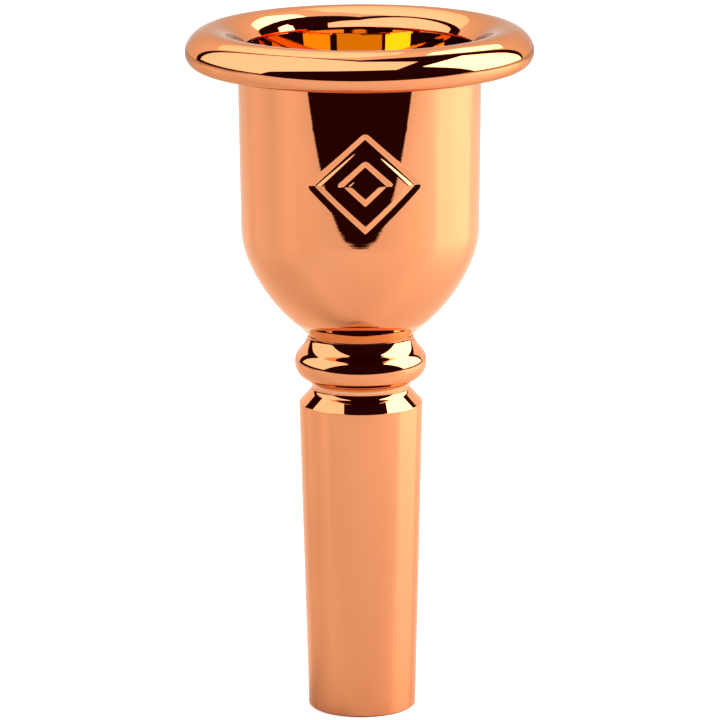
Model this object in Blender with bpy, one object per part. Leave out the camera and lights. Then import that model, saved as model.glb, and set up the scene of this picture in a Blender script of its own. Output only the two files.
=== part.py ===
"""Low-brass mouthpiece that comes apart into a screw rim, a cup and a tapered shank, sealed by O-rings.

It stands on its shank end. The origin is the centre of that end, and +Z runs up the axis to the rim.
Every outline is a closed loop of (radius, height) points in one half-plane, turned about the axis.
"""

import math

import bmesh
import bpy

# Facets
SEGMENTS = 32              # columns round the axis
THREAD_STEPS = 4           # points along one pitch: two on the root, two on the crest
RING_SIDES = 8             # sides of an O-ring's section
SAG = 0.00002              # how far the middle of a facet may lie inside its arc
MERGE = 1e-6               # points closer than this are one
SHARP_ANGLE = math.radians(30)

# Clearances
SEAM_GAP = 0.0003          # between faces that seat on each other
THREAD_GAP = 0.00018       # between male and female thread, radially

# Shank: outside
TIP_RADIUS = 0.00635
TIP_CHAMFER = 0.0002
TAPER_ON_RADIUS = 1 / 40   # a 1:20 taper on the diameter
SHANK_TOP = 0.03695
SHOULDER_ROUND = 0.0003
GROOVE_ROUND = 0.00095
BEAD_RADIUS = 0.00216
BEAD_HEIGHT = 0.04178
BEAD_OUTER = 0.00776
GROOVE_SIDE = -67.9        # degrees on the bead where the groove begins
NECK_SIDE = 45             # degrees on the bead where the neck begins
NECK_ROUND = 0.0032
NECK_END = 192             # degrees on the neck's arc where it meets the seam
NECK_RADIUS = 0.00625
NECK_SEAM = 0.0451         # height where cup and shank part

# Shank: inside
THROAT_RADIUS = 0.00345
THROAT_END = 0.0400        # the backbore opens below this height
BACKBORE_END_RADIUS = 0.00535
BACKBORE_POWER = 1.15      # above 1 the bore opens slowly at first
BACKBORE_STEPS = 5

# Threaded spigot between shank and cup
SPIGOT_RADIUS = 0.00485
SPIGOT_TOP = 0.0508
SPIGOT_CHAMFER = 0.0004
SPIGOT_PITCH = 0.0010
SPIGOT_DEPTH = 0.0005
SPIGOT_THREAD = (0.0470, 0.0504)
SOCKET_END = SPIGOT_TOP + SEAM_GAP
SOCKET_GROOVE = (0.0458, 0.0467)
SOCKET_GROOVE_RADIUS = 0.00586

# Cup: outside
BOWL_RADIUS = 0.01957
BOWL_CENTRE = (-0.00502, 0.06138)
BOWL_START_RADIUS = 0.0073  # where the bowl's arc begins, above the neck
BOWL_TOP_ANGLE = -21       # degrees on the bowl's arc where it turns up into the wall
BOWL_BLEND = 0.0100
CUP_TOP_RADIUS = 0.01415
CUP_SHOULDER = 0.0774

# Cup: inside
THROAT_ROUND = 0.0016
THROAT_ROUND_START = 120   # degrees on the throat's arc where the bowl ends
INNER_BOWL_HEIGHT = 0.0680
INNER_BOWL_RADIUS = 0.0122
INNER_BOWL_DEPTH = 0.0150
INNER_BOWL_END = 63        # degrees below the horizontal, seen from the inner bowl's centre
INNER_BOWL_STEPS = 7
COLLAR_INNER = 0.01325

# Threaded collar between cup and rim
COLLAR_RADIUS = 0.01400
COLLAR_TOP = 0.07895
COLLAR_CHAMFER = 0.0002
COLLAR_PITCH = 0.0005
COLLAR_DEPTH = 0.00028
COLLAR_THREAD = (0.07745, 0.0787)

# Rim
RIM_BORE = 0.0143
RIM_EDGE_CENTRE = (0.01843, 0.07856)
RIM_EDGE_RADIUS = 0.00182
RIM_UNDER_ANGLE = -80.5    # degrees on the edge's arc where the underside begins
RIM_EDGE_TOP_ANGLE = 12    # degrees where the edge turns into the outer crown
RIM_CROWN_RADIUS = 0.00305
RIM_BITE_SIDE_RADIUS = 0.0046
BITE_RADIUS = 0.01376
LIP_INNER = 0.01335
LIP_UNDER = COLLAR_TOP + SEAM_GAP
RIM_GROOVE = (0.0765, 0.0773)
RIM_GROOVE_RADIUS = 0.01506

# O-rings: radius of the ring's centre line, radius of its section
RIM_O_RING = (0.01465, 0.0003)
SHANK_O_RING = (0.00542, 0.0003)

# Materials
PLATING = (0.83, 0.42, 0.24, 1.0)
PLATING_ROUGHNESS = 0.08
RUBBER = (0.02, 0.02, 0.02, 1.0)
RUBBER_ROUGHNESS = 0.6


def polar(centre, radius, degrees):
    """The point at an angle on a circle in the half-plane; 0 degrees points away from the axis, 90 up."""
    angle = math.radians(degrees)
    return (centre[0] + radius * math.cos(angle), centre[1] + radius * math.sin(angle))


def arc(centre, radius, start, end):
    """Points from one angle to another, close enough for facets within SAG of the circle."""
    largest_step = 2 * math.degrees(math.acos(1 - SAG / radius))
    steps = math.ceil(abs(end - start) / largest_step)
    return [polar(centre, radius, start + (end - start) * i / steps) for i in range(steps + 1)]


def rounded_corner(before, corner, after, radius):
    """The arc that replaces an outward corner between two straight sides, on the way up an outline."""
    start = math.degrees(math.atan2(corner[1] - before[1], corner[0] - before[0])) - 90
    end = math.degrees(math.atan2(after[1] - corner[1], after[0] - corner[0])) - 90
    reach = radius / math.cos(math.radians(end - start) / 2)
    centre = polar(corner, -reach, (start + end) / 2)
    return arc(centre, radius, start, end)


class Thread:
    """A helical ridge between two heights, drawn upwards or downwards along an outline."""

    def __init__(self, base, crest, pitch, span, phase=0, downwards=False):
        self.base = base
        self.crest = crest
        self.pitch = pitch
        self.low, self.high = span
        self.phase = phase
        self.downwards = downwards
        self.step = pitch / THREAD_STEPS
        self.count = math.ceil((self.high - self.low) / self.step) + THREAD_STEPS + 1

    def point(self, column, index):
        """Point index of a column. The last column repeats the first, THREAD_STEPS points further on."""
        along = index - THREAD_STEPS + THREAD_STEPS * column / SEGMENTS
        height = min(max(self.low + along * self.step, self.low), self.high)
        ridge = (index + self.phase) % THREAD_STEPS >= THREAD_STEPS / 2
        fade = min(1.0, (height - self.low) / self.step, (self.high - height) / self.step)
        radius = self.base + (self.crest - self.base) * fade * ridge
        return radius, height

    def column(self, column):
        points = [self.point(column, index) for index in range(self.count)]
        return points[::-1] if self.downwards else points


def column_points(outline, column):
    points = []
    for item in outline:
        points += item.column(column) if isinstance(item, Thread) else [item]
    return points


def turned_mesh(name, outline, base_height):
    """A closed outline turned about the axis, with its threads as true helices."""
    bm = bmesh.new()
    columns = []
    for column in range(SEGMENTS + 1):
        turn = 2 * math.pi * column / SEGMENTS
        columns.append([
            bm.verts.new((r * math.cos(turn), r * math.sin(turn), z - base_height))
            for r, z in column_points(outline, column)
        ])
    for left, right in zip(columns, columns[1:]):
        for i in range(len(left)):
            j = (i + 1) % len(left)
            bm.faces.new((left[i], right[i], right[j], left[j]))
    bmesh.ops.remove_doubles(bm, verts=bm.verts, dist=MERGE)
    bmesh.ops.recalc_face_normals(bm, faces=bm.faces)
    mesh = bpy.data.meshes.new(name)
    bm.to_mesh(mesh)
    bm.free()
    mesh.shade_smooth()
    mesh.set_sharp_from_angle(angle=SHARP_ANGLE)
    return mesh


def add_piece(name, outline, base_height, material, parent=None):
    """A turned piece whose origin lies on the axis at base_height."""
    mesh = turned_mesh(name, outline, base_height)
    mesh.materials.append(material)
    piece = bpy.data.objects.new(name, mesh)
    bpy.context.scene.collection.objects.link(piece)
    piece.parent = parent
    piece.location.z = base_height - (parent.matrix_world.translation.z if parent else 0.0)
    bpy.context.view_layer.update()
    return piece


def make_material(name, colour, metallic, roughness):
    material = bpy.data.materials.new(name)
    material.use_nodes = True
    shader = material.node_tree.nodes["Principled BSDF"]
    shader.inputs["Base Color"].default_value = colour
    shader.inputs["Metallic"].default_value = metallic
    shader.inputs["Roughness"].default_value = roughness
    return material


def shank_outside():
    """From the tip up over taper, shoulder, bevel, groove and bead to the neck."""
    shoulder = (TIP_RADIUS + TAPER_ON_RADIUS * SHANK_TOP, SHANK_TOP)
    bead = (BEAD_OUTER - BEAD_RADIUS, BEAD_HEIGHT)
    groove = polar(bead, BEAD_RADIUS + GROOVE_ROUND, GROOVE_SIDE)
    neck = polar(bead, BEAD_RADIUS + NECK_ROUND, NECK_SIDE)
    to_groove = (groove[0] - shoulder[0], groove[1] - shoulder[1])
    lean = math.atan2(-to_groove[0], to_groove[1]) + math.asin(GROOVE_ROUND / math.hypot(*to_groove))
    bevel_angle = 180 + math.degrees(lean)
    bevel_end = polar(groove, GROOVE_ROUND, bevel_angle)
    tip = (TIP_RADIUS + TAPER_ON_RADIUS * TIP_CHAMFER, TIP_CHAMFER)
    outside = [(TIP_RADIUS - TIP_CHAMFER, 0.0), tip]
    outside += rounded_corner(tip, shoulder, bevel_end, SHOULDER_ROUND)
    outside += arc(groove, GROOVE_ROUND, bevel_angle, 180 + GROOVE_SIDE)
    outside += arc(bead, BEAD_RADIUS, GROOVE_SIDE, NECK_SIDE)[1:]
    outside += arc(neck, NECK_ROUND, 180 + NECK_SIDE, NECK_END)[1:]
    outside.append((NECK_RADIUS, NECK_SEAM - SEAM_GAP / 2))
    return outside


def shank_outline():
    """The outside, the threaded spigot, and the throat and backbore back down to the tip."""
    outline = shank_outside()
    outline.append((SPIGOT_RADIUS, NECK_SEAM - SEAM_GAP / 2))
    outline.append((SPIGOT_RADIUS, SPIGOT_THREAD[0] - SPIGOT_DEPTH))
    root = SPIGOT_RADIUS - SPIGOT_DEPTH
    outline.append(Thread(root, SPIGOT_RADIUS, SPIGOT_PITCH, SPIGOT_THREAD))
    outline.append((root - SPIGOT_CHAMFER, SPIGOT_TOP))
    outline.append((THROAT_RADIUS, SPIGOT_TOP))
    for step in range(BACKBORE_STEPS + 1):
        along = step / BACKBORE_STEPS
        widening = (BACKBORE_END_RADIUS - THROAT_RADIUS) * along ** BACKBORE_POWER
        outline.append((THROAT_RADIUS + widening, THROAT_END * (1 - along)))
    return outline


def cup_outside():
    """From the neck up the bowl and the wall to the shoulder under the collar."""
    blend = polar(BOWL_CENTRE, BOWL_RADIUS - BOWL_BLEND, BOWL_TOP_ANGLE)
    foot = NECK_SEAM + SEAM_GAP / 2
    start = -math.degrees(math.acos((BOWL_START_RADIUS - BOWL_CENTRE[0]) / BOWL_RADIUS))
    outside = [(NECK_RADIUS, foot)]
    outside += arc(BOWL_CENTRE, BOWL_RADIUS, start, BOWL_TOP_ANGLE)
    outside += arc(blend, BOWL_BLEND, BOWL_TOP_ANGLE, 0)[1:]
    outside.append((CUP_TOP_RADIUS, CUP_SHOULDER))
    return outside


def cup_inside():
    """From the collar's top down the inner wall and the inner bowl to the throat."""
    inside = [(COLLAR_INNER, COLLAR_TOP)]
    for step in range(INNER_BOWL_STEPS + 1):
        angle = math.radians(INNER_BOWL_END * step / INNER_BOWL_STEPS)
        radius = INNER_BOWL_RADIUS * math.cos(angle)
        inside.append((radius, INNER_BOWL_HEIGHT - INNER_BOWL_DEPTH * math.sin(angle)))
    throat = (THROAT_RADIUS + THROAT_ROUND, inside[-1][1] - THROAT_ROUND)
    inside += arc(throat, THROAT_ROUND, THROAT_ROUND_START, 180)
    inside.append((THROAT_RADIUS, SOCKET_END))
    return inside


def cup_outline():
    """The outside, the threaded collar, the inside, and the threaded socket with its O-ring groove."""
    outline = cup_outside()
    collar_root = COLLAR_RADIUS - COLLAR_DEPTH
    outline.append(Thread(collar_root, COLLAR_RADIUS, COLLAR_PITCH, COLLAR_THREAD))
    outline.append((collar_root - COLLAR_CHAMFER, COLLAR_TOP))
    outline += cup_inside()
    major = SPIGOT_RADIUS + THREAD_GAP
    minor = major - SPIGOT_DEPTH
    span = (SPIGOT_THREAD[0], SOCKET_END - SEAM_GAP)
    outline.append((major, SOCKET_END))
    outline.append(Thread(major, minor, SPIGOT_PITCH, span, THREAD_STEPS // 2, downwards=True))
    outline.append((major, SOCKET_GROOVE[1]))
    outline.append((SOCKET_GROOVE_RADIUS, SOCKET_GROOVE[1]))
    outline.append((SOCKET_GROOVE_RADIUS, SOCKET_GROOVE[0]))
    outline.append((major, SOCKET_GROOVE[0]))
    outline.append((major, NECK_SEAM + SEAM_GAP / 2))
    return outline


def rim_outline():
    """Underside, rounded edge, crown and bite, then the lip, the female thread and the O-ring groove."""
    crown = polar(RIM_EDGE_CENTRE, RIM_EDGE_RADIUS - RIM_CROWN_RADIUS, RIM_EDGE_TOP_ANGLE)
    bite_side = polar(crown, RIM_CROWN_RADIUS - RIM_BITE_SIDE_RADIUS, 90)
    bite_angle = math.degrees(math.acos((BITE_RADIUS - bite_side[0]) / RIM_BITE_SIDE_RADIUS))
    under = polar(RIM_EDGE_CENTRE, RIM_EDGE_RADIUS, RIM_UNDER_ANGLE)
    slope = math.tan(math.radians(90 + RIM_UNDER_ANGLE))
    outline = [(RIM_BORE, under[1] - slope * (under[0] - RIM_BORE))]
    outline += arc(RIM_EDGE_CENTRE, RIM_EDGE_RADIUS, RIM_UNDER_ANGLE, RIM_EDGE_TOP_ANGLE)
    outline += arc(crown, RIM_CROWN_RADIUS, RIM_EDGE_TOP_ANGLE, 90)[1:]
    outline += arc(bite_side, RIM_BITE_SIDE_RADIUS, 90, bite_angle)[1:]
    outline.append((LIP_INNER, LIP_UNDER))
    major = COLLAR_RADIUS + THREAD_GAP
    minor = major - COLLAR_DEPTH
    outline.append((major, LIP_UNDER))
    span = (COLLAR_THREAD[0], LIP_UNDER - SEAM_GAP)
    outline.append(Thread(major, minor, COLLAR_PITCH, span, THREAD_STEPS // 2, downwards=True))
    outline.append((RIM_BORE, RIM_GROOVE[1]))
    outline.append((RIM_GROOVE_RADIUS, RIM_GROOVE[1]))
    outline.append((RIM_GROOVE_RADIUS, RIM_GROOVE[0]))
    outline.append((RIM_BORE, RIM_GROOVE[0]))
    return outline


def o_ring_outline(ring, groove):
    radius, section = ring
    centre = (radius, sum(groove) / 2)
    return [polar(centre, section, 360 * side / RING_SIDES) for side in range(RING_SIDES)]


def clear_scene():
    for item in list(bpy.data.objects):
        bpy.data.objects.remove(item, do_unlink=True)


def build():
    clear_scene()
    plating = {
        name: make_material(name + "_plating", PLATING, 1.0, PLATING_ROUGHNESS)
        for name in ("rim", "cup", "shank")
    }
    rubber = make_material("o_ring_rubber", RUBBER, 0.0, RUBBER_ROUGHNESS)
    shank = add_piece("shank", shank_outline(), 0.0, plating["shank"])
    seal = sum(SOCKET_GROOVE) / 2
    add_piece("shank_o_ring", o_ring_outline(SHANK_O_RING, SOCKET_GROOVE), seal, rubber, shank)
    cup = add_piece("cup", cup_outline(), NECK_SEAM, plating["cup"], shank)
    seal = sum(RIM_GROOVE) / 2
    add_piece("rim_o_ring", o_ring_outline(RIM_O_RING, RIM_GROOVE), seal, rubber, cup)
    add_piece("rim", rim_outline(), CUP_SHOULDER, plating["rim"], cup)


build()
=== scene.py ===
"""Looks of the low-brass mouthpiece: finely turned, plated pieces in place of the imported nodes.

Lengths are metres and +Z runs up the bore. Outlines are (radius, height) points turned about the axis.
"""

import math

import bmesh
import bpy
from mathutils import Matrix, Vector


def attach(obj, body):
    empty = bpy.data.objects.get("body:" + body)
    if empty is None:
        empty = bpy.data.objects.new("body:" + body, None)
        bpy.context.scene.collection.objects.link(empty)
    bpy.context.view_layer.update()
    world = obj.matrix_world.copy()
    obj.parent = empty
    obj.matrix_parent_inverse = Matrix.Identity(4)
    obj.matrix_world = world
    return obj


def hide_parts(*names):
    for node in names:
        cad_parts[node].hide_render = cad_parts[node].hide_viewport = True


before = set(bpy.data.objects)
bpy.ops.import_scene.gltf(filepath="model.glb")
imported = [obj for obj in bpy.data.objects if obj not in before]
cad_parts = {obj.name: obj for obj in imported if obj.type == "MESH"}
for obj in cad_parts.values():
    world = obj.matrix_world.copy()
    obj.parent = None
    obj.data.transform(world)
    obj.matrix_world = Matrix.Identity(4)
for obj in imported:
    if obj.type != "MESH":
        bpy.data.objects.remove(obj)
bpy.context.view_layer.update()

# Facets
COLUMNS = 256               # steps round the axis
SAG = 1e-6                  # how far the middle of a facet may lie inside its arc
MERGE = 2e-7                # vertices closer than this are joined
SHARP_ANGLE = math.radians(32)

# Shank: outside
TIP_RADIUS = 0.00635
TIP_CHAMFER = 0.0002
TAPER_ON_RADIUS = 1 / 40
SHANK_TOP = 0.03695
SHOULDER_ROUND = 0.00008
GROOVE_ROUND = 0.00095
BEAD_RADIUS = 0.00216
BEAD_HEIGHT = 0.04178
BEAD_OUTER = 0.00776
GROOVE_SIDE = -67.9         # degrees on the bead where the groove begins
NECK_SIDE = 45              # degrees on the bead where the neck begins
NECK_ROUND = 0.0032
NECK_END = 192
NECK_RADIUS = 0.00625
NECK_SEAM = 0.0451
NECK_GAP = 0.00006          # the fine line between cup and shank
SEAM_ROUND = 0.00005

# Shank: inside
THROAT_RADIUS = 0.00345
THROAT_END = 0.0400
BACKBORE_END_RADIUS = 0.00535
BACKBORE_POWER = 1.15       # above 1 it widens most near the shank's end
BACKBORE_STEPS = 24

# Threads and O-ring grooves
THREAD_STEPS = 8            # outline points for each turn
RIDGE_SLOPE = 1.25          # above 1 it leaves flats on the crests and in the roots
RUN_OUT_STEPS = 3           # points over which a ridge fades in or out
SPIGOT_RADIUS = 0.00485
SPIGOT_TOP = 0.0508
SPIGOT_CHAMFER = 0.0004
SPIGOT_PITCH = 0.0010
SPIGOT_DEPTH = 0.0005
SPIGOT_THREAD = (0.0470, 0.0504)
SOCKET_GAP = 0.0003
THREAD_GAP = 0.00008
SOCKET_GROOVE = (0.0458, 0.0467)
SOCKET_GROOVE_RADIUS = 0.00586
COLLAR_RADIUS = 0.01400
COLLAR_TOP = 0.07895
COLLAR_CHAMFER = 0.0002
COLLAR_PITCH = 0.0005
COLLAR_DEPTH = 0.00028
COLLAR_THREAD = (0.07745, 0.0787)
RIM_GROOVE = (0.0765, 0.0773)
RIM_GROOVE_RADIUS = 0.01506
O_RING_SECTION = 0.0003
RIM_O_RING_RADIUS = 0.01465
SHANK_O_RING_RADIUS = 0.00542
O_RING_SIDES = 24

# Cup
BOWL_RADIUS = 0.01957
BOWL_CENTRE = (-0.00502, 0.06138)
BOWL_START_RADIUS = 0.0073
BOWL_TOP_ANGLE = -21
BOWL_BLEND = 0.0100
CUP_TOP_RADIUS = 0.01415
CUP_SHOULDER = 0.0774
THROAT_ROUND = 0.0016
THROAT_ROUND_START = 120
INNER_BOWL_HEIGHT = 0.0680
INNER_BOWL_RADIUS = 0.0122
INNER_BOWL_DEPTH = 0.0150
INNER_BOWL_END = 63
INNER_BOWL_STEPS = 48
COLLAR_INNER = 0.01325

# Rim
RIM_BORE = 0.0143
RIM_EDGE_CENTRE = (0.01852, 0.07852)
RIM_EDGE_RADIUS = 0.00172
RIM_UNDER_ANGLE = -80.5
RIM_SIDE_ANGLE = -1
RIM_SIDE_RADIUS = 0.00245
RIM_CROWN_ANGLE = 28
RIM_CROWN_RADIUS = 0.00307
RIM_BITE_SIDE_RADIUS = 0.0046
BITE_RADIUS = 0.01376
LIP_INNER = 0.01335

# Engraved ornament on the front of the cup: a lozenge round a smaller one
ORNAMENT_HEIGHT = 0.0651    # its centre above the shank end
ORNAMENT_OFFSET = 0.0006    # its centre to the right of the cup's front
ORNAMENT_HALF_WIDTH = 0.0060
ORNAMENT_HALF_HEIGHT = 0.0055
INNER_SHARE = 0.42          # size of the inner lozenge as a share of the outer
STROKE_HALF_WIDTH = 0.00058
STROKE_DEPTH = 0.00024
STROKE_SOFTNESS = 1.5       # power that runs a stroke's sides out to the wall
WALL_ROWS = 56              # rows of facets up the straight wall
PATCH_SHARE = 1.15          # the refined patch of wall as a share of the ornament
PATCH_EDGE = 1.05           # how much further the patch's outermost vertices may lie
PATCH_CUTS = 3              # cuts across each facet in the patch
WALL_MARGIN = 0.0005        # how far inside the cup's top radius still counts as its wall

# Plating. Each source is the part of a noise's range that is used.
COPPER = (0.88, 0.335, 0.148, 1)
WARM_COPPER = (0.86, 0.31, 0.130, 1)
TONE_NOISE = {"Scale": 90.0, "Detail": 3.0}
TONE_SOURCE = (0.35, 0.75)
TONE_SHARES = (0.0, 0.6)    # least and most of the warm copper
HAZE_NOISE = {"Scale": 400.0, "Detail": 4.0}
HAZE_SOURCE = (0.3, 0.8)
HAZE_ROUGHNESS = (0.008, 0.02)
MARKS_NOISE = {"Scale": 1.0, "Detail": 2.0}
MARKS_STRETCH = (30.0, 30.0, 9000.0)
MARKS_HEIGHT = 0.000002
RIM_MARKS = 0.03            # strength of the turning marks
CUP_MARKS = 0.12
SHANK_MARKS = 0.06
RIM_EDGE_TINT = (0.62, 0.54, 0.47, 1)
BODY_EDGE_TINT = (0.95, 0.85, 0.75, 1)

# Painted reflection: a paler colour between two heights in the neck and in the groove, so light bounced
# there looks as bright as a direct reflection, and a deeper amber inside the bowl for the colour of light
# bounced round the cup
PAINTED_PALE_REFLECTION = (0.85, 0.56, 0.32, 1)
NECK_PAINTED_BAND = (0.0449, 0.0469)
GROOVE_PAINTED_BAND = (0.0393, 0.0398)
BAND_BLEND = 0.0003
PAINTED_AMBER_REFLECTION = (0.80, 0.38, 0.035, 1)
INSIDE_HEIGHT = 0.068
INSIDE_RADIUS = 0.0136
INSIDE_DEPTH = 0.0165

# Rubber
RUBBER_COLOURS = [(0.012, 0.012, 0.012, 1), (0.035, 0.034, 0.033, 1)]
RUBBER_ROUGHNESS = 0.55
GRAIN_NOISE = {"Scale": 6000.0, "Detail": 3.0}
GRAIN_STRENGTH = 0.4
GRAIN_HEIGHT = 0.00001

# Camera: it looks along +Y and slightly down. Angles are degrees, lens and sensor millimetres.
CAMERA_DISTANCE = 0.560
CAMERA_HEIGHT = 0.1703
CAMERA_SIDEWAYS = -0.00009
CAMERA_PITCH = 12.919
CAMERA_ROLL = -0.24
CAMERA_LENS = 244.84
SENSOR_WIDTH = 36.0

# Table
TABLE_FRONT = -0.262
TABLE_BACK = 1.2
TABLE_SIDE = 0.9
TABLE_COLOUR = (0.9, 0.9, 0.9, 1)
TABLE_ROUGHNESS = 0.42
GLOW_REACH = 0.2            # how far in front of the object or behind it the glow is full
GLOW_STRENGTH = 0.3
CAMERA_GLOW = 0.65          # extra glow that only the camera sees

# World and light panels. Corners are (azimuth, elevation) in degrees, as seen from the cup.
WHITE = (1, 1, 1, 1)
DARK_ROOM = (0.02, 0.003, 0.0, 1)
TENT = (1.15, 1.15, 1.15, 1)
TENT_SLANT = 0.95           # how far back the tent's edge runs for each step aside
TENT_EDGE = 0.04            # width of the soft step from the dark room to the tent
PANEL_AIM_HEIGHT = 0.06     # height of the point that the directions start from
PANEL_DISTANCE = 0.55
LEFT_PANEL = [(-122, 3), (-66, 3), (-28, 50), (-100, 60)]
LEFT_STRENGTH = 1.7
RIGHT_PANEL = [(79, 0), (130, -1), (112, 53), (50, 45)]
RIGHT_STRENGTH = 5.0
BANNER = [(-126, 4), (-66, 1), (-60, 15), (27, 40), (68, 64), (0, 81), (-126, 66)]
BANNER_STRENGTH = 1.8
BACK_BANNER = [(-178, 31), (175, 38), (166, 60), (-178, 76), (-136, 74), (-136, 34)]
BACK_BANNER_STRENGTH = 0.8
RIGHT_WING = [(134, 44), (140, 64), (158, 54), (164, 40), (153, 34), (137, 33)]
RIGHT_WING_STRENGTH = 4.0


def polar(centre, radius, degrees):
    angle = math.radians(degrees)
    return (centre[0] + radius * math.cos(angle), centre[1] + radius * math.sin(angle))


def arc(centre, radius, start, end):
    """Points from one angle to another, close enough for facets within SAG of the circle."""
    largest_step = 2 * math.degrees(math.acos(1 - SAG / radius))
    steps = math.ceil(abs(end - start) / largest_step)
    return [polar(centre, radius, start + (end - start) * i / steps) for i in range(steps + 1)]


def heading(start, end):
    return math.degrees(math.atan2(end[1] - start[1], end[0] - start[0]))


def rounded_corner(before, corner, after, radius):
    """The arc that replaces a corner between two straight sides, turning either way."""
    turn = (heading(corner, after) - heading(before, corner) + 180) % 360 - 180
    side = math.copysign(90, turn)
    start = heading(before, corner) - side
    reach = radius / math.cos(math.radians(turn) / 2)
    centre = polar(corner, -reach, start + turn / 2)
    return arc(centre, radius, start, start + turn)


class Thread:
    """A helical ridge between two heights, drawn upwards or downwards along an outline."""

    def __init__(self, base, crest, pitch, span, phase=0, downwards=False):
        self.base = base
        self.crest = crest
        self.low, self.high = span
        self.phase = phase
        self.downwards = downwards
        self.step = pitch / THREAD_STEPS
        self.count = math.ceil((self.high - self.low) / self.step) + THREAD_STEPS + 1

    def point(self, column, index):
        along = index - THREAD_STEPS + THREAD_STEPS * column / COLUMNS
        height = min(max(self.low + along * self.step, self.low), self.high)
        place = (index + self.phase) % THREAD_STEPS / THREAD_STEPS
        ridge = min(max(RIDGE_SLOPE * abs(2 * place - 1) - (RIDGE_SLOPE - 1) / 2, 0.0), 1.0)
        run_out = RUN_OUT_STEPS * self.step
        fade = min(1.0, (height - self.low) / run_out, (self.high - height) / run_out)
        return self.base + (self.crest - self.base) * fade * ridge, height

    def column(self, column):
        points = [self.point(column, index) for index in range(self.count)]
        return points[::-1] if self.downwards else points


def column_points(outline, column):
    points = []
    for item in outline:
        points += item.column(column) if isinstance(item, Thread) else [item]
    return points


def turned(outline):
    """A closed outline turned about the axis as a bmesh. Column 0 faces the front."""
    bm = bmesh.new()
    columns = []
    for column in range(COLUMNS + 1):
        turn = 2 * math.pi * column / COLUMNS - math.pi / 2
        columns.append([
            bm.verts.new((r * math.cos(turn), r * math.sin(turn), z))
            for r, z in column_points(outline, column)
        ])
    for left, right in zip(columns, columns[1:]):
        for i in range(len(left)):
            j = (i + 1) % len(left)
            bm.faces.new((left[i], right[i], right[j], left[j]))
    bmesh.ops.remove_doubles(bm, verts=bm.verts, dist=MERGE)
    bmesh.ops.recalc_face_normals(bm, faces=bm.faces)
    return bm


def add_piece(name, bm, material, body, node):
    mesh = bpy.data.meshes.new(name)
    bm.to_mesh(mesh)
    bm.free()
    mesh.shade_smooth()
    mesh.set_sharp_from_angle(angle=SHARP_ANGLE)
    mesh.materials.append(material)
    piece = bpy.data.objects.new(name, mesh)
    bpy.context.scene.collection.objects.link(piece)
    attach(piece, body)
    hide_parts(node)
    return piece


def shank_outside():
    shoulder = (TIP_RADIUS + TAPER_ON_RADIUS * SHANK_TOP, SHANK_TOP)
    bead = (BEAD_OUTER - BEAD_RADIUS, BEAD_HEIGHT)
    groove = polar(bead, BEAD_RADIUS + GROOVE_ROUND, GROOVE_SIDE)
    neck = polar(bead, BEAD_RADIUS + NECK_ROUND, NECK_SIDE)
    to_groove = (groove[0] - shoulder[0], groove[1] - shoulder[1])
    lean = math.atan2(-to_groove[0], to_groove[1]) + math.asin(GROOVE_ROUND / math.hypot(*to_groove))
    bevel_angle = 180 + math.degrees(lean)
    bevel_end = polar(groove, GROOVE_ROUND, bevel_angle)
    tip_inner = (TIP_RADIUS - TIP_CHAMFER, 0.0)
    tip = (TIP_RADIUS + TAPER_ON_RADIUS * TIP_CHAMFER, TIP_CHAMFER)
    outside = rounded_corner((0.0, 0.0), tip_inner, tip, SEAM_ROUND)
    outside += rounded_corner(tip_inner, tip, shoulder, SEAM_ROUND)
    outside += rounded_corner(tip, shoulder, bevel_end, SHOULDER_ROUND)
    outside += arc(groove, GROOVE_ROUND, bevel_angle, 180 + GROOVE_SIDE)
    outside += arc(bead, BEAD_RADIUS, GROOVE_SIDE, NECK_SIDE)[1:]
    outside += arc(neck, NECK_ROUND, 180 + NECK_SIDE, NECK_END)[1:]
    seam = (NECK_RADIUS, NECK_SEAM - NECK_GAP / 2)
    outside += rounded_corner(outside[-1], seam, (SPIGOT_RADIUS, seam[1]), SEAM_ROUND)
    return outside


def shank_outline():
    outline = shank_outside()
    outline.append((SPIGOT_RADIUS, NECK_SEAM - NECK_GAP / 2))
    root = SPIGOT_RADIUS - SPIGOT_DEPTH
    outline.append((SPIGOT_RADIUS, SPIGOT_THREAD[0] - SPIGOT_DEPTH))
    outline.append(Thread(root, SPIGOT_RADIUS, SPIGOT_PITCH, SPIGOT_THREAD))
    outline.append((root - SPIGOT_CHAMFER, SPIGOT_TOP))
    outline.append((THROAT_RADIUS, SPIGOT_TOP))
    for step in range(BACKBORE_STEPS + 1):
        along = step / BACKBORE_STEPS
        widening = (BACKBORE_END_RADIUS - THROAT_RADIUS) * along ** BACKBORE_POWER
        outline.append((THROAT_RADIUS + widening, THROAT_END * (1 - along)))
    return outline


def cup_outside():
    blend = polar(BOWL_CENTRE, BOWL_RADIUS - BOWL_BLEND, BOWL_TOP_ANGLE)
    foot = NECK_SEAM + NECK_GAP / 2
    start = -math.degrees(math.acos((BOWL_START_RADIUS - BOWL_CENTRE[0]) / BOWL_RADIUS))
    bowl = arc(BOWL_CENTRE, BOWL_RADIUS, start, BOWL_TOP_ANGLE)
    outside = rounded_corner((SPIGOT_RADIUS, foot), (NECK_RADIUS, foot), bowl[0], SEAM_ROUND)
    outside += bowl
    outside += arc(blend, BOWL_BLEND, BOWL_TOP_ANGLE, 0)[1:]
    return outside


def cup_inside():
    inside = [(COLLAR_INNER, COLLAR_TOP)]
    for step in range(INNER_BOWL_STEPS + 1):
        angle = math.radians(INNER_BOWL_END * step / INNER_BOWL_STEPS)
        radius = INNER_BOWL_RADIUS * math.cos(angle)
        inside.append((radius, INNER_BOWL_HEIGHT - INNER_BOWL_DEPTH * math.sin(angle)))
    throat = (THROAT_RADIUS + THROAT_ROUND, inside[-1][1] - THROAT_ROUND)
    inside += arc(throat, THROAT_ROUND, THROAT_ROUND_START, 180)
    inside.append((THROAT_RADIUS, SPIGOT_TOP + SOCKET_GAP))
    return inside


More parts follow.
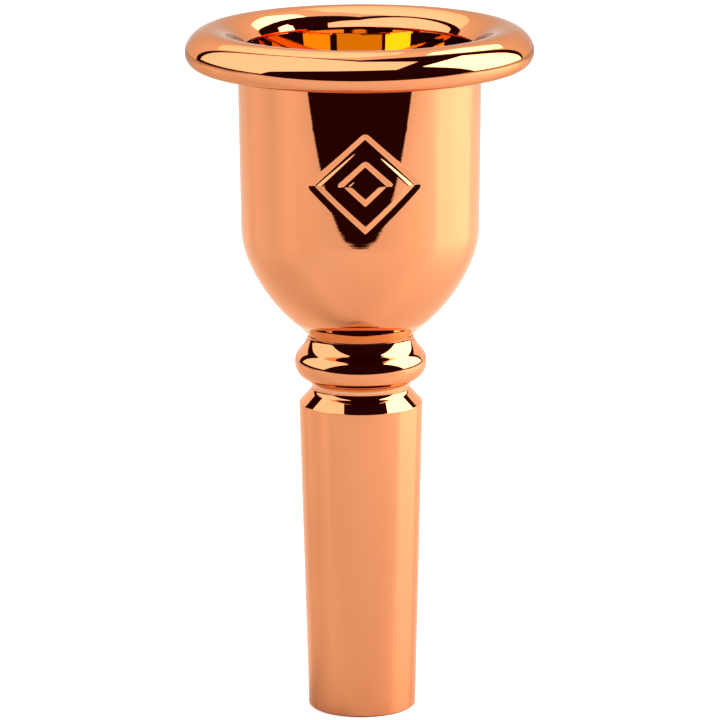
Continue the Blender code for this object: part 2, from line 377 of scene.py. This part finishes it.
def cup_outline():
    outline = cup_outside()
    wall_foot = outline[-1]
    wall_top = (CUP_TOP_RADIUS, CUP_SHOULDER)
    for row in range(1, WALL_ROWS + 1):
        share = row / WALL_ROWS
        outline.append(tuple(a + (b - a) * share for a, b in zip(wall_foot, wall_top)))
    collar_root = COLLAR_RADIUS - COLLAR_DEPTH
    outline.append(Thread(collar_root, COLLAR_RADIUS, COLLAR_PITCH, COLLAR_THREAD))
    outline.append((collar_root - COLLAR_CHAMFER, COLLAR_TOP))
    outline += cup_inside()
    major = SPIGOT_RADIUS + THREAD_GAP
    minor = major - SPIGOT_DEPTH
    outline.append((major, SPIGOT_TOP + SOCKET_GAP))
    span = (SPIGOT_THREAD[0], SPIGOT_TOP)
    outline.append(Thread(major, minor, SPIGOT_PITCH, span, THREAD_STEPS // 2, True))
    outline.append((major, SOCKET_GROOVE[1]))
    outline.append((SOCKET_GROOVE_RADIUS, SOCKET_GROOVE[1]))
    outline.append((SOCKET_GROOVE_RADIUS, SOCKET_GROOVE[0]))
    outline.append((major, SOCKET_GROOVE[0]))
    outline.append((major, NECK_SEAM + NECK_GAP / 2))
    return outline


def rim_outline():
    edge = RIM_EDGE_CENTRE
    side = polar(edge, RIM_EDGE_RADIUS - RIM_SIDE_RADIUS, RIM_SIDE_ANGLE)
    crown = polar(side, RIM_SIDE_RADIUS - RIM_CROWN_RADIUS, RIM_CROWN_ANGLE)
    bite_side = polar(crown, RIM_CROWN_RADIUS - RIM_BITE_SIDE_RADIUS, 90)
    bite_angle = math.degrees(math.acos((BITE_RADIUS - bite_side[0]) / RIM_BITE_SIDE_RADIUS))
    under = polar(edge, RIM_EDGE_RADIUS, RIM_UNDER_ANGLE)
    slope = math.tan(math.radians(90 + RIM_UNDER_ANGLE))
    outline = [(RIM_BORE, under[1] - slope * (under[0] - RIM_BORE))]
    outline += arc(edge, RIM_EDGE_RADIUS, RIM_UNDER_ANGLE, RIM_SIDE_ANGLE)
    outline += arc(side, RIM_SIDE_RADIUS, RIM_SIDE_ANGLE, RIM_CROWN_ANGLE)[1:]
    outline += arc(crown, RIM_CROWN_RADIUS, RIM_CROWN_ANGLE, 90)[1:]
    outline += arc(bite_side, RIM_BITE_SIDE_RADIUS, 90, bite_angle)[1:-1]
    bite = polar(bite_side, RIM_BITE_SIDE_RADIUS, bite_angle)
    lip_under = COLLAR_TOP + SOCKET_GAP
    outline += rounded_corner(outline[-1], bite, (LIP_INNER, lip_under), SEAM_ROUND)
    outline.append((LIP_INNER, lip_under))
    major = COLLAR_RADIUS + THREAD_GAP
    minor = major - COLLAR_DEPTH
    outline.append((major, lip_under))
    span = (COLLAR_THREAD[0], COLLAR_TOP)
    outline.append(Thread(major, minor, COLLAR_PITCH, span, THREAD_STEPS // 2, True))
    outline.append((RIM_BORE, RIM_GROOVE[1]))
    outline.append((RIM_GROOVE_RADIUS, RIM_GROOVE[1]))
    outline.append((RIM_GROOVE_RADIUS, RIM_GROOVE[0]))
    outline.append((RIM_BORE, RIM_GROOVE[0]))
    return outline


def o_ring_outline(radius, groove):
    centre = (radius, sum(groove) / 2)
    return [polar(centre, O_RING_SECTION, 360 * side / O_RING_SIDES) for side in range(O_RING_SIDES)]


def lozenge(share):
    """Four strokes (start, end) along the sides of a lozenge."""
    x, z = ORNAMENT_HALF_WIDTH * share, ORNAMENT_HALF_HEIGHT * share
    corners = [(x, 0.0), (0.0, z), (-x, 0.0), (0.0, -z)]
    return list(zip(corners, corners[1:] + corners[:1]))


def distance_to_stroke(point, stroke):
    start, end = (Vector(place) for place in stroke)
    along = end - start
    share = min(max((point - start).dot(along) / along.length_squared, 0.0), 1.0)
    return (point - start - along * share).length


def engraving_depth(point, strokes):
    nearest = min(distance_to_stroke(point, stroke) for stroke in strokes)
    share = min(nearest / STROKE_HALF_WIDTH, 1.0)
    return STROKE_DEPTH * (1 - share ** 2) ** STROKE_SOFTNESS


def unrolled(co):
    """A point's place on the unrolled wall, from the ornament's centre, and its distance from the axis."""
    radius = math.hypot(co.x, co.y)
    around = math.atan2(co.x, -co.y) * radius - ORNAMENT_OFFSET
    return Vector((around, co.z - ORNAMENT_HEIGHT)), radius


def in_patch(co, share):
    """Whether a point is on the cup's outer wall and in a share of the ornament's rectangle."""
    flat, radius = unrolled(co)
    is_near = abs(flat.x) < ORNAMENT_HALF_WIDTH * share and abs(flat.y) < ORNAMENT_HALF_HEIGHT * share
    return is_near and radius > CUP_TOP_RADIUS - WALL_MARGIN


def engrave(bm):
    """Refines the front of the cup's wall and sinks the ornament's strokes into it."""
    strokes = lozenge(1.0) + lozenge(INNER_SHARE)
    wall_foot = cup_outside()[-1]
    taper = (CUP_TOP_RADIUS - wall_foot[0]) / (CUP_SHOULDER - wall_foot[1])
    faces = [face for face in bm.faces if in_patch(face.calc_center_median(), PATCH_SHARE)]
    edges = list({edge for face in faces for edge in face.edges})
    bmesh.ops.subdivide_edges(bm, edges=edges, cuts=PATCH_CUTS, use_grid_fill=True)
    for vert in bm.verts:
        if not in_patch(vert.co, PATCH_SHARE * PATCH_EDGE):
            continue
        flat, radius = unrolled(vert.co)
        wall = wall_foot[0] + taper * (vert.co.z - wall_foot[1])
        vert.co.xy *= (wall - engraving_depth(flat, strokes)) / radius
    bmesh.ops.recalc_face_normals(bm, faces=bm.faces)


def new_material(name):
    material = bpy.data.materials.new(name)
    material.use_nodes = True
    return material, material.node_tree, material.node_tree.nodes["Principled BSDF"]


def add_node(tree, kind, inputs=None, **settings):
    """A node with its settings, and its inputs given by name as values or as sockets to link from."""
    node = tree.nodes.new(kind)
    for name, value in settings.items():
        setattr(node, name, value)
    for name, value in (inputs or {}).items():
        if isinstance(value, bpy.types.NodeSocket):
            tree.links.new(value, node.inputs[name])
        else:
            node.inputs[name].default_value = value
    return node


def noise(tree, place, settings):
    return add_node(tree, "ShaderNodeTexNoise", {"Vector": place, **settings}).outputs["Fac"]


def math_node(tree, operation, *values):
    return add_node(tree, "ShaderNodeMath", dict(enumerate(values)), operation=operation).outputs["Value"]


def remapped(tree, value, source, target=(0.0, 1.0)):
    """A value mapped from one range to another, which it never leaves."""
    ranges = {"From Min": source[0], "From Max": source[1], "To Min": target[0], "To Max": target[1]}
    return add_node(tree, "ShaderNodeMapRange", {"Value": value, **ranges}).outputs["Result"]


def mixed(tree, share, first, second):
    """The first colour where the share is 0 and the second where it is 1."""
    inputs = {"Factor": share, "A": first, "B": second}
    return add_node(tree, "ShaderNodeMix", inputs, data_type="RGBA").outputs["Result"]


def roughen(tree, shader, height, strength, distance):
    """Fine bumps of a given depth in the shader's surface."""
    bump = add_node(tree, "ShaderNodeBump", {"Height": height, "Strength": strength, "Distance": distance})
    tree.links.new(bump.outputs["Normal"], shader.inputs["Normal"])


def plating(name, edge, marks, painted_pale_band=None, has_painted_amber=False):
    """Polished rose-gold plating with slight patches of warmer tone, faint haze and turning marks, and
    where asked painted reflection: a paler band and a deeper amber inside the bowl.
    """
    material, tree, shader = new_material(name)
    shader.inputs["Metallic"].default_value = 1.0
    shader.inputs["Specular Tint"].default_value = edge
    place = add_node(tree, "ShaderNodeTexCoord").outputs["Object"]
    tone = remapped(tree, noise(tree, place, TONE_NOISE), TONE_SOURCE, TONE_SHARES)
    colour = mixed(tree, tone, COPPER, WARM_COPPER)
    # Painted reflection: a paler colour in the band, so light bounced in the neck or groove looks as
    # bright as a direct reflection
    if painted_pale_band:
        colour = mixed(tree, share_outside_painted_band(tree, place, painted_pale_band), PAINTED_PALE_REFLECTION, colour)
    # Painted reflection: a deeper amber inside the bowl for the colour of light bounced round the cup
    if has_painted_amber:
        colour = mixed(tree, share_outside_painted_bowl(tree, place), PAINTED_AMBER_REFLECTION, colour)
    tree.links.new(colour, shader.inputs["Base Color"])
    rough = remapped(tree, noise(tree, place, HAZE_NOISE), HAZE_SOURCE, HAZE_ROUGHNESS)
    tree.links.new(rough, shader.inputs["Roughness"])
    stretch = add_node(tree, "ShaderNodeMapping", {"Vector": place, "Scale": MARKS_STRETCH})
    lines = noise(tree, stretch.outputs["Vector"], MARKS_NOISE)
    roughen(tree, shader, lines, marks, MARKS_HEIGHT)
    return material


def share_outside_painted_band(tree, place, band):
    """0 between two heights, deep in a neck or a groove, and 1 a little past them; the paler painted
    reflection goes where it is 0.
    """
    axes = add_node(tree, "ShaderNodeSeparateXYZ", {"Vector": place})
    above = math_node(tree, "SUBTRACT", axes.outputs["Z"], sum(band) / 2)
    away = math_node(tree, "ABSOLUTE", above)
    half = (band[1] - band[0]) / 2
    return remapped(tree, away, (half, half + BAND_BLEND))


def share_outside_painted_bowl(tree, place):
    """0 in a bullet shape that holds the bowl's inner surface but not its outer one, and 1 elsewhere; the
    painted amber reflection goes where it is 0.
    """
    axes = add_node(tree, "ShaderNodeSeparateXYZ", {"Vector": place})
    above = math_node(tree, "SUBTRACT", axes.outputs["Z"], INSIDE_HEIGHT)
    below = math_node(tree, "MINIMUM", above, 0.0)
    parts = {"X": axes.outputs["X"], "Y": axes.outputs["Y"], "Z": below}
    spot = add_node(tree, "ShaderNodeCombineXYZ", parts).outputs["Vector"]
    scale = (1 / INSIDE_RADIUS, 1 / INSIDE_RADIUS, 1 / INSIDE_DEPTH)
    scaled = add_node(tree, "ShaderNodeMapping", {"Vector": spot, "Scale": scale})
    far = add_node(tree, "ShaderNodeVectorMath", {0: scaled.outputs["Vector"]}, operation="LENGTH")
    return math_node(tree, "GREATER_THAN", far.outputs["Value"], 1.0)


def rubber():
    """Matt black rubber with a fine grain."""
    material, tree, shader = new_material("o_ring_rubber_look")
    place = add_node(tree, "ShaderNodeTexCoord").outputs["Object"]
    grain = noise(tree, place, GRAIN_NOISE)
    tone = add_node(tree, "ShaderNodeValToRGB", {"Fac": grain})
    for element, colour in zip(tone.color_ramp.elements, RUBBER_COLOURS):
        element.color = colour
    tree.links.new(tone.outputs["Color"], shader.inputs["Base Color"])
    shader.inputs["Roughness"].default_value = RUBBER_ROUGHNESS
    roughen(tree, shader, grain, GRAIN_STRENGTH, GRAIN_HEIGHT)
    return material


def build_pieces():
    rim_look = plating("rim_plating_look", RIM_EDGE_TINT, RIM_MARKS)
    cup_look = plating("cup_plating_painted_reflection_look", BODY_EDGE_TINT, CUP_MARKS, NECK_PAINTED_BAND, has_painted_amber=True)
    shank_look = plating("shank_plating_painted_reflection_look", BODY_EDGE_TINT, SHANK_MARKS, GROOVE_PAINTED_BAND)
    black = rubber()
    turned_shank = turned(shank_outline())
    shank = add_piece("polished_shank", turned_shank, shank_look, "shank", "shank")
    engraved_cup = turned(cup_outline())
    engrave(engraved_cup)
    cup = add_piece("polished_cup", engraved_cup, cup_look, "cup", "cup")
    turned_rim = turned(rim_outline())
    rim = add_piece("polished_rim", turned_rim, rim_look, "rim", "rim")
    ring = turned(o_ring_outline(SHANK_O_RING_RADIUS, SOCKET_GROOVE))
    add_piece("shank_seal_ring", ring, black, "cup_seal", "shank_o_ring")
    ring = turned(o_ring_outline(RIM_O_RING_RADIUS, RIM_GROOVE))
    add_piece("rim_seal_ring", ring, black, "rim_seal", "rim_o_ring")
    return rim, cup, shank


def add_camera():
    data = bpy.data.cameras.new("camera")
    data.sensor_width = SENSOR_WIDTH
    data.lens = CAMERA_LENS
    camera = bpy.data.objects.new("camera", data)
    tilt = Matrix.Rotation(math.radians(90 - CAMERA_PITCH), 4, "X")
    roll = Matrix.Rotation(math.radians(CAMERA_ROLL), 4, "Z")
    place = Matrix.Translation((CAMERA_SIDEWAYS, -CAMERA_DISTANCE, CAMERA_HEIGHT))
    camera.matrix_world = place @ tilt @ roll
    bpy.context.scene.collection.objects.link(camera)
    bpy.context.scene.camera = camera


def add_sheet(name, corners, material):
    """A single flat face for the table or for a light panel."""
    bm = bmesh.new()
    bm.faces.new([bm.verts.new(corner) for corner in corners])
    mesh = bpy.data.meshes.new(name)
    bm.to_mesh(mesh)
    bm.free()
    mesh.materials.append(material)
    sheet = bpy.data.objects.new(name, mesh)
    bpy.context.scene.collection.objects.link(sheet)
    return sheet


def table_surface():
    """White card that glows faintly in front of the object and behind it, and more to the camera."""
    material, tree, shader = new_material("white_table")
    shader.inputs["Base Color"].default_value = TABLE_COLOUR
    shader.inputs["Roughness"].default_value = TABLE_ROUGHNESS
    shader.inputs["Emission Color"].default_value = WHITE
    place = add_node(tree, "ShaderNodeTexCoord").outputs["Object"]
    axes = add_node(tree, "ShaderNodeSeparateXYZ", {"Vector": place})
    away = math_node(tree, "ABSOLUTE", axes.outputs["Y"])
    glow = remapped(tree, away, (0.0, GLOW_REACH), (0.0, GLOW_STRENGTH))
    path = add_node(tree, "ShaderNodeLightPath")
    seen = math_node(tree, "MULTIPLY_ADD", path.outputs["Is Camera Ray"], CAMERA_GLOW, glow)
    tree.links.new(seen, shader.inputs["Emission Strength"])
    return material


def add_table():
    left, right = -TABLE_SIDE, TABLE_SIDE
    corners = [(left, TABLE_FRONT), (right, TABLE_FRONT), (right, TABLE_BACK), (left, TABLE_BACK)]
    table = add_sheet("table", [(x, y, 0.0) for x, y in corners], table_surface())
    return table


def toward(azimuth, elevation):
    """A panel's corner in a given direction. Azimuth 0 is the camera's side, +90 its right."""
    a, e = math.radians(azimuth), math.radians(elevation)
    away = Vector((math.sin(a) * math.cos(e), -math.cos(a) * math.cos(e), math.sin(e)))
    return Vector((0.0, 0.0, PANEL_AIM_HEIGHT)) + away * PANEL_DISTANCE


def panel_glow(name, strength, is_clear):
    """Even white light. A clear panel also lets through what is behind it."""
    material = bpy.data.materials.new(name)
    material.use_nodes = True
    tree = material.node_tree
    tree.nodes.clear()
    light = add_node(tree, "ShaderNodeEmission", {"Color": WHITE, "Strength": strength})
    surface = light.outputs["Emission"]
    if is_clear:
        clear = add_node(tree, "ShaderNodeBsdfTransparent").outputs["BSDF"]
        surface = add_node(tree, "ShaderNodeAddShader", {0: surface, 1: clear}).outputs["Shader"]
    add_node(tree, "ShaderNodeOutputMaterial", {"Surface": surface})
    return material


def add_panel(name, corners, strength, receivers=None):
    """A light panel that the camera doesn't see. With receivers given, only they are lit and mirror it."""
    glow = panel_glow(name, strength, receivers is not None)
    panel = add_sheet(name, [toward(azimuth, elevation) for azimuth, elevation in corners], glow)
    panel.visible_camera = False
    if receivers:
        group = bpy.data.collections.new(name + "_receivers")
        for piece in receivers:
            group.objects.link(piece)
        panel.light_linking.receiver_collection = group


def add_world():
    """White to the camera. Otherwise a white tent behind the object and a dark room in front of it."""
    world = bpy.data.worlds.new("studio")
    bpy.context.scene.world = world
    world.use_nodes = True
    tree = world.node_tree
    tree.nodes.clear()
    place = add_node(tree, "ShaderNodeTexCoord").outputs["Generated"]
    axes = add_node(tree, "ShaderNodeSeparateXYZ", {"Vector": place})
    aside = math_node(tree, "ABSOLUTE", axes.outputs["X"])
    side = math_node(tree, "MULTIPLY", aside, TENT_SLANT)
    behind = math_node(tree, "SUBTRACT", axes.outputs["Y"], side)
    lit = mixed(tree, remapped(tree, behind, (0.0, TENT_EDGE)), DARK_ROOM, TENT)
    path = add_node(tree, "ShaderNodeLightPath")
    seen = mixed(tree, path.outputs["Is Camera Ray"], lit, WHITE)
    back = add_node(tree, "ShaderNodeBackground", {"Color": seen})
    add_node(tree, "ShaderNodeOutputWorld", {"Surface": back.outputs["Background"]})


def add_lights(rim, others):
    add_panel("left_softbox", LEFT_PANEL, LEFT_STRENGTH, others)
    add_panel("right_softbox", RIGHT_PANEL, RIGHT_STRENGTH)
    add_panel("rim_softbox", BANNER, BANNER_STRENGTH, [rim])
    add_panel("rim_back_softbox", BACK_BANNER, BACK_BANNER_STRENGTH, [rim])
    add_panel("rim_right_wing", RIGHT_WING, RIGHT_WING_STRENGTH, [rim])


add_camera()
rim, cup, shank = build_pieces()
table = add_table()
add_world()
add_lights(rim, [cup, shank, table])
bpy.context.scene.view_settings.view_transform = "Standard"
